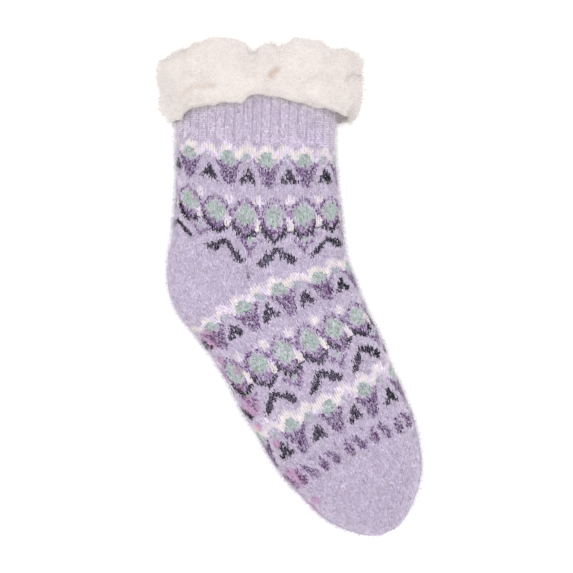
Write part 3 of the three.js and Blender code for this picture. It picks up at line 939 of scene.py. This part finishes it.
def knit_piece(name, picks, full):
    """Joined stitches, each with two legs."""
    places, down, around, out, shares, tall, wide, deep, charts, rows = picks
    count = len(places)
    template = FULL_LEG if full else PLAIN_LEG
    triangles = FULL_FACES if full else PLAIN_FACES
    corner = len(template)
    points = np.zeros((count, 2, corner, 3))
    shades = np.zeros((count, 2, corner, 3))
    faces = np.zeros((count, 2, len(triangles), 3), int)
    seat = places - out * (deep * RIB_DEPTH)[:, None]
    for leg, side in ((0, 1), (1, -1)):
        slack = rng.normal(0, 0.07, (count, corner, 3)) * np.array([1.0, 1.4, 0.6])
        height = STITCH_HEIGHT * (1 + 0.16 * rng.normal(size=count))
        twist = 1 + 0.12 * rng.normal(size=count)
        yarns = yarn_at(charts, rows, shares + side * 0.25 / WALES, 0.5)
        pale = PALE_TABLE[yarns]
        length = tall * np.where(charts == RIBBED, RIB_STITCH, np.where(pale, 1.3, 1.0))
        across = (template[:, 0] * side)[None] * (wide * twist * np.where(pale, 1.5, 1.0))[:, None] + slack[..., 0]
        along = template[:, 1][None] * length[:, None] + slack[..., 1]
        sink = np.where(template[:, 2][None] < 0, SINK_TABLE[yarns][:, None], 1.0)
        rise = template[:, 2][None] * sink * height[:, None] + slack[..., 2]
        points[:, leg] = (
            seat[:, None]
            + around[:, None] * across[..., None]
            + down[:, None] * along[..., None]
            + out[:, None] * rise[..., None]
        )
        colours = np.repeat(strand_colours(yarns, places, out)[:, None], corner, axis=1)
        level = np.digitize(template[:, 1], (-0.7, 0.0, 0.7))
        fleck = (rng.random((count, 4)) < FLECK_TABLE[yarns][:, None])[:, level]
        colours[fleck] = 0.35 * colours[fleck] + 0.65 * YARN_TABLE[0] * 1.1
        # Painted shade: the low sides of each stitch darkened, and stitches in the rib's grooves darkened more
        low = (template[:, 2] < -0.5)[None, :] & ~pale[:, None]
        dark = np.where(low[..., None], DEEP_SHADE, 1.0)
        shades[:, leg] = colours * dark * (1 - RIB_SHADE * deep[:, None, None])
        order = triangles if side > 0 else triangles[:, ::-1]
        faces[:, leg] = order[None] + (np.arange(count) * 2 * corner + leg * corner)[:, None, None]
    return piece(name, points.reshape(-1, 3), faces.reshape(-1, 3), KNIT, shades.reshape(-1, 3))


FUZZ_LENGTH = 1.2
FUZZ_WIDTH = 0.14
FUZZ_COUNTS = {"over": 38000, "under": 11000}
HALO_COUNT = 13000
HALO_LENGTH = 3.7
HALO_WIDTH = 0.15


def hairs(name, roots, out, colours, length, width, rise, finish):
    """Short bent hairs, two triangles each, that lean every way and catch the light from above and outside."""
    count = len(roots)
    lean = rng.normal(size=(count, 3))
    lean = unit(lean - out * (lean * out).sum(1, keepdims=True))
    bend = unit(lean + 0.9 * np.cross(out, lean) * rng.normal(size=(count, 1)))
    size = length * (0.5 + rng.random((count, 1)))
    lift = rise * (0.3 + rng.random((count, 1)))
    middle = roots + (lean + out * lift) * size * 0.5
    end = middle + (bend + out * lift * 0.5) * size * 0.5
    side = unit(np.cross(out, lean)) * width / 2
    turned = (np.cross(middle - side - roots, middle + side - roots) * out).sum(1, keepdims=True) < 0
    side = np.where(turned, -side, side)
    points = np.stack([roots, middle - side, middle + side, end], axis=1)
    faces = np.array([(0, 1, 2), (1, 3, 2)])[None] + (np.arange(count) * 4)[:, None, None]
    shades = np.repeat(colours[:, None], 4, axis=1).reshape(-1, 3)
    raised = out + np.array([0, 0, 1.0]) * np.clip(0.8 + out[:, 2:], 0, 1)
    normals = np.repeat(unit(raised)[:, None], 4, axis=1).reshape(-1, 3)
    return piece(name, points.reshape(-1, 3), faces.reshape(-1, 3), finish, shades, normals=normals)


def make_knit():
    """All the stitches, in four joined pieces, and the fuzz that stands out of them."""
    gathered = {}
    for part, (rings, shares, tall, wide, deep, charts, rows) in lay_courses():
        places = surface(rings, shares)
        down, around, out = surface_frame(rings, shares)
        tall = np.clip(tall, 0.5 * ROW_PITCH, 1.6 * ROW_PITCH)
        for side in ("over", "under"):
            mask = ((shares % 1) < 0.5) == (side == "over")
            fields = (places, down, around, out, shares, tall, wide, deep, charts, rows)
            gathered.setdefault((part, side), []).append([field[mask] for field in fields])
    for (part, side), lots in gathered.items():
        picks = [np.concatenate(fields) for fields in zip(*lots)]
        knit_piece(f"knit_{part}_{side}", picks, side == "over")
        places, down, around, out, shares, tall, wide, deep, charts, rows = picks
        count = FUZZ_COUNTS[side]
        chosen = rng.integers(0, len(places), count)
        spread = rng.uniform(-0.5, 0.5, (2, count, 1))
        roots = (
            places[chosen]
            + around[chosen] * (spread[0] * wide[chosen, None])
            + down[chosen] * (spread[1] * tall[chosen, None])
            + out[chosen] * (STITCH_HEIGHT * 0.6 - deep[chosen, None] * RIB_DEPTH)
        )
        across = shares[chosen] + spread[0, :, 0] / WALES
        yarns = yarn_at(charts[chosen], rows[chosen] + spread[1, :, 0], across, 0.2)
        colours = strand_colours(yarns, roots, out[chosen])
        colours = colours * (1 + 0.15 * np.abs(rng.normal(size=(count, 1))))
        hairs(f"fuzz_{part}_{side}", roots, out[chosen], colours, FUZZ_LENGTH, FUZZ_WIDTH, 0.5, FUZZ)
        edge = np.nonzero(np.abs(np.sin(2 * math.pi * shares)) < 0.26)[0]
        chosen = rng.choice(edge, HALO_COUNT)
        yarns = yarn_at(charts[chosen], rows[chosen], shares[chosen], 0.2)
        # Halo hairs mix their yarn, the ground and a near-white: the near-white is a painted sheen where fuzz catches
        # light
        colours = 0.35 * YARN_TABLE[yarns] + 0.4 * YARN_TABLE[0] + 0.25 * linear((240, 235, 242))
        slack = rng.normal(0, 0.5, (HALO_COUNT, 3))
        roots = places[chosen] + slack
        hairs(f"halo_{part}_{side}", roots, out[chosen], colours, HALO_LENGTH, HALO_WIDTH, 1.0, HALO)


def tube(rings, around, inset):
    """A grid of places on the surface, set in by so much, and its faces."""
    ring = np.linspace(rings[0], rings[1], rings[2])
    share = np.arange(around) / around
    grid_ring, grid_share = np.meshgrid(ring, share, indexing="ij")
    _, _, out = surface_frame(grid_ring, grid_share)
    points = surface(grid_ring, grid_share) - out * inset
    index = np.arange(rings[2] * around).reshape(rings[2], around)
    a, b = index[:-1], index[1:]
    faces = np.stack([a, b, np.roll(b, -1, axis=1), np.roll(a, -1, axis=1)], axis=-1).reshape(-1, 4)
    return points.reshape(-1, 3), faces, grid_ring.ravel(), grid_share.ravel()


RIB_END = 88.0


def make_base():
    """The ground that the stitches stand on, ribbed under the cuff, and the fleece inside."""
    points, faces, rings, shares = tube((0, LAST_RING - 0.5, 120), 4 * RIBS, 0.25)
    ribbed = smooth_step((points[:, 1] - RIB_END) / 4)
    _, _, out = surface_frame(rings, shares)
    points = points - out * (0.6 * RIB_DEPTH * ribbed)[:, None]
    # The ground between the stitches is painted a darker lavender than the yarn: painted shade in the gaps
    shade = linear((172, 157, 186)) * (1 + 0.06 * rng.normal(size=(len(points), 1)))
    base = piece("knit_base", points, faces, KNIT, np.clip(shade, 0, 1))
    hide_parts("knit_sock")
    points, faces, _, _ = tube((0, LATTICE_RINGS - 4, 90), 96, WALL)
    points += rng.normal(0, 0.12, points.shape)
    shade = linear((236, 227, 222)) * (1 + 0.03 * rng.normal(size=(len(points), 1)))
    piece("inner_lining", points, faces[:, ::-1], LINING, np.clip(shade, 0, 1), WALL * 0.4)


# The fleece cuff's shape, listed point by point: millimetres across from the heel point, and how far down its top
# edge and, on the upper side, its lower edge are drawn there
CUFF_TOP = [
    (-66, 9), (-62, 11), (-58, 9.5), (-53, 6), (-45, 5), (-39, 1.6), (-33, 2), (-28, -1), (-16, -0.8), (-8, 1),
    (-5, 3.4), (-1, 6), (1, 10.5), (4, 11.5), (7, 8.5), (9, 1.6), (12, -2.6), (15, 1.6), (20, 5.4), (26, 5.8),
    (29, 4), (32, 0.6), (38, 0.4), (43, 2.2), (49, 1.2), (54, 5), (57, 6.4), (63, 4), (66, 3.2), (69, 4.6), (72, 5.6),
    (75, 9.3), (81, 16),
]
CUFF_HEM = [
    (-59, 0), (-47, 0.4), (-44, -3), (-39, -4.6), (-33, -3.2), (-28, -2.4), (-22, 0.5), (-16, 1.2), (-12, 3),
    (-7, 3.6), (-3.5, 5.6), (-1, 3.8), (1, 1.6), (6, 0.4), (18, 0), (23, -0.6), (30, -0.6), (35, -1.6), (40, -3.2),
    (46, -4.6), (50, -6), (54, -4.6), (60, -2.6), (64, -2.5), (67, -8), (70, -10), (74, -9),
]
# Creases of the pile: from, to, depth and width. The deeper ones also take painted shade, a tan tone.
CUFF_CREASES = [
    ((16, 134), (20, 138), 1.6, 2.2),
    ((-46, 121), (-24, 126), 0.8, 2.0),
    ((36, 125), (44, 132), 0.6, 2.0),
    ((-4, 146), (-2, 144), 0.4, 2.0),
]
# Painted shade on stretches of the pile: from, to, width and share of light lost
CUFF_SHADES = [
    ((-60, 128), (-44, 110), 9.0, 0.08),
    ((-60, 150), (-40, 158), 8.0, 0.05),
    ((68, 128), (72, 112), 6.0, 0.02),
    ((-4, 152), (-2, 138), 5.0, 0.04),
]
CUFF_LUMPS = [(15.0, 0.8), (6.5, 0.3), (3.0, 0.14)]
PILE_DEPTH = 1.8
FIBRE_COUNT = 62000
FIBRE_LENGTH = 4.8
FIBRE_WIDTH = 0.3


def make_cuff():
    """The cuff's solid, remeshed fine, drawn to its lumpy outline and covered with soft fibres."""
    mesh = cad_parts["fleece_cuff"].data.copy()
    mesh.name = "fleece_pile"
    mesh.materials.clear()
    cuff = bpy.data.objects.new("fleece_pile", mesh)
    bpy.context.scene.collection.objects.link(cuff)
    remesh = cuff.modifiers.new("fine", "REMESH")
    remesh.mode = "VOXEL"
    remesh.voxel_size = 1.15 * MM
    smooth = cuff.modifiers.new("soft", "SMOOTH")
    smooth.factor = 0.5
    smooth.iterations = 12
    depsgraph = bpy.context.evaluated_depsgraph_get()
    fine = bpy.data.meshes.new_from_object(cuff.evaluated_get(depsgraph))
    cuff.modifiers.clear()
    cuff.data = fine
    count = len(fine.vertices)
    values = np.zeros(count * 3, np.float32)
    fine.vertices.foreach_get("co", values)
    places = values.reshape(-1, 3).astype(float) / MM - ORIGIN
    fine.vertices.foreach_get("normal", values)
    normals = values.reshape(-1, 3).astype(float)

    over = smooth_step((places[:, 2] - 22) / 8)
    moved = places - normals * PILE_DEPTH
    lumps = np.zeros(count)
    for k, (size, height) in enumerate(CUFF_LUMPS):
        lumps += height * patchy(places + 90 * k, size)
    crease_shade = np.zeros(count)
    for start, end, deep, width in CUFF_CREASES:
        near = line_share(places, start, end, width) * over
        lumps -= deep * near
        crease_shade = np.maximum(crease_shade, near * min(0.8, deep / 2))
    moved += normals * lumps[:, None]
    top = np.interp(places[:, 0], *np.array(CUFF_TOP).T) * smooth_step((places[:, 1] - 142) / 24)
    hem = np.interp(places[:, 0], *np.array(CUFF_HEM).T) * smooth_step((138 - places[:, 1]) / 14) * over
    moved[:, 1] -= top + hem
    left = smooth_step((-40 - places[:, 0]) / 24)
    corners = smooth_step((places[:, 1] - 144) / 14) + smooth_step((114 - places[:, 1]) / 10)
    moved[:, 0] += 5 * smooth_step((places[:, 0] - 20) / 50) + (5 * corners - 1) * left
    floor = 0.3 + 0.3 * np.abs(patchy(places, 5.0))
    moved[:, 2] = np.maximum(moved[:, 2], floor)
    fine.vertices.foreach_set("co", ((moved + ORIGIN) * MM).astype(np.float32).ravel())
    fine.update()
    fine.shade_smooth()
    light = linear((217, 209, 205))
    # Painted shade: a tan tone mixed into the cream in the creases of the pile
    crease_shade_tone = linear((194, 174, 158))
    shade = 1 + 0.02 * patchy(places, 9.0)[:, None] + 0.02 * patchy(places, 2.5)[:, None]
    # Painted shade on the stretches listed in CUFF_SHADES
    for start, end, width, dark in CUFF_SHADES:
        shade -= dark * line_share(places, start, end, width)[:, None]
    colours = np.clip((light * (1 - crease_shade[:, None]) + crease_shade_tone * crease_shade[:, None]) * shade, 0, 1)
    paint(fine, colours)
    fine.materials.clear()
    fine.materials.append(FLEECE)
    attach(cuff, "root")
    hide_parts("fleece_cuff")

    picked = rng.integers(0, count, FIBRE_COUNT)
    fine.vertices.foreach_get("normal", values)
    soft = unit(0.3 * values.reshape(-1, 3) + 0.7 * normals)
    fine.normals_split_custom_set_from_vertices(soft)
    out = soft[picked]
    roots = moved[picked] - out * 0.4 + rng.normal(0, 0.3, (FIBRE_COUNT, 3))
    tufts = 1 + 0.02 * patchy(roots, 2.0)[:, None] + 0.01 * rng.normal(size=(FIBRE_COUNT, 1))
    tone = np.clip(colours[picked] * tufts, 0, 0.95)
    hairs("fleece_fibres", roots, out, tone, FIBRE_LENGTH, FIBRE_WIDTH, 1.1, PILE)


# Grip pads
PAD_SIDES = 28
PAD_PROFILE = [(1.0, 0.0), (0.99, 0.35), (0.93, 0.7), (0.75, 0.9), (0.4, 1.0)]


def make_pads():
    for name, size, along, across in PAD_SPOTS:
        turn = 2 * math.pi * np.arange(PAD_SIDES) / PAD_SIDES
        phase = rng.random(3) * 2 * math.pi
        edge = 1 + 0.05 * np.sin(2 * turn + phase[0]) + 0.04 * np.sin(3 * turn + phase[1])
        points = []
        for radius, height in PAD_PROFILE + [(0.0, 1.02)]:
            reach = radius * size / 2 * edge
            count = PAD_SIDES if radius else 1
            ring, share = on_sole(
                along + (reach * np.cos(turn))[:count], across + (reach * np.sin(turn))[:count]
            )
            _, _, out = surface_frame(ring, share)
            points.append(surface(ring, share) + out * (PAD_GAP + height * GRIP_HEIGHT))
        bottom_ring, bottom_share = on_sole(np.array([along]), np.array([across]))
        _, _, out = surface_frame(bottom_ring, bottom_share)
        points.append(surface(bottom_ring, bottom_share) + out * PAD_GAP)
        points = np.concatenate(points)
        faces = []
        for r in range(len(PAD_PROFILE) - 1):
            for i in range(PAD_SIDES):
                j = (i + 1) % PAD_SIDES
                a = r * PAD_SIDES
                b = a + PAD_SIDES
                faces.append((a + i, b + j, b + i))
                faces.append((a + i, a + j, b + j))
        top = len(PAD_PROFILE) * PAD_SIDES
        last = top - PAD_SIDES
        for i in range(PAD_SIDES):
            j = (i + 1) % PAD_SIDES
            faces.append((last + i, last + j, top))
            faces.append((j, i, top + 1))
        made = piece(name + "_silicone", points, np.array(faces)[:, ::-1], SILICONE)
        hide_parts(name)


# Floor, lights and camera
PIXEL = 0.7077
IMAGE_SIZE = 573
LENS = 150.0
SENSOR = 36.0
VIEW_X = -2.48
VIEW_Y = 0.71
VIEW_HEIGHT = 20.0


def make_stage():
    scene = bpy.context.scene
    made, nodes, links, shader = material("pale_floor")
    shader.inputs["Base Color"].default_value = (0.93, 0.93, 0.93, 1)
    shader.inputs["Roughness"].default_value = 0.9
    shader.inputs["Specular IOR Level"].default_value = 0.1
    shader.inputs["Emission Color"].default_value = (1, 1, 1, 1)
    shader.inputs["Emission Strength"].default_value = 0.26
    bpy.ops.mesh.primitive_plane_add(size=6, location=(0, 0, 0))
    floor = bpy.context.object
    floor.name = "floor"
    floor.data.materials.append(made)

    world = bpy.data.worlds.new("studio")
    world.use_nodes = True
    world.node_tree.nodes["Background"].inputs["Color"].default_value = (1, 1, 1, 1)
    world.node_tree.nodes["Background"].inputs["Strength"].default_value = 1.0
    scene.world = world

    for place, size, power in (((-0.7, 0.2, 1.3), 1.2, 6.0), ((0.8, -0.1, 1.5), 1.4, 7.2)):
        light = bpy.data.lights.new("softbox", "AREA")
        light.size = size
        light.energy = power
        lamp = bpy.data.objects.new("softbox", light)
        lamp.location = place
        lamp.rotation_euler = (-Vector(place)).to_track_quat("-Z", "Y").to_euler()
        scene.collection.objects.link(lamp)

    camera_data = bpy.data.cameras.new("camera")
    camera_data.lens = LENS
    camera_data.sensor_width = SENSOR
    camera = bpy.data.objects.new("camera", camera_data)
    distance = IMAGE_SIZE * PIXEL * LENS / SENSOR
    camera.location = (VIEW_X * MM, VIEW_Y * MM, (distance + VIEW_HEIGHT) * MM)
    camera_data.clip_end = 10
    scene.collection.objects.link(camera)
    scene.camera = camera
    scene.view_settings.view_transform = "Standard"


make_stage()
make_base()
make_knit()
make_cuff()
make_pads()
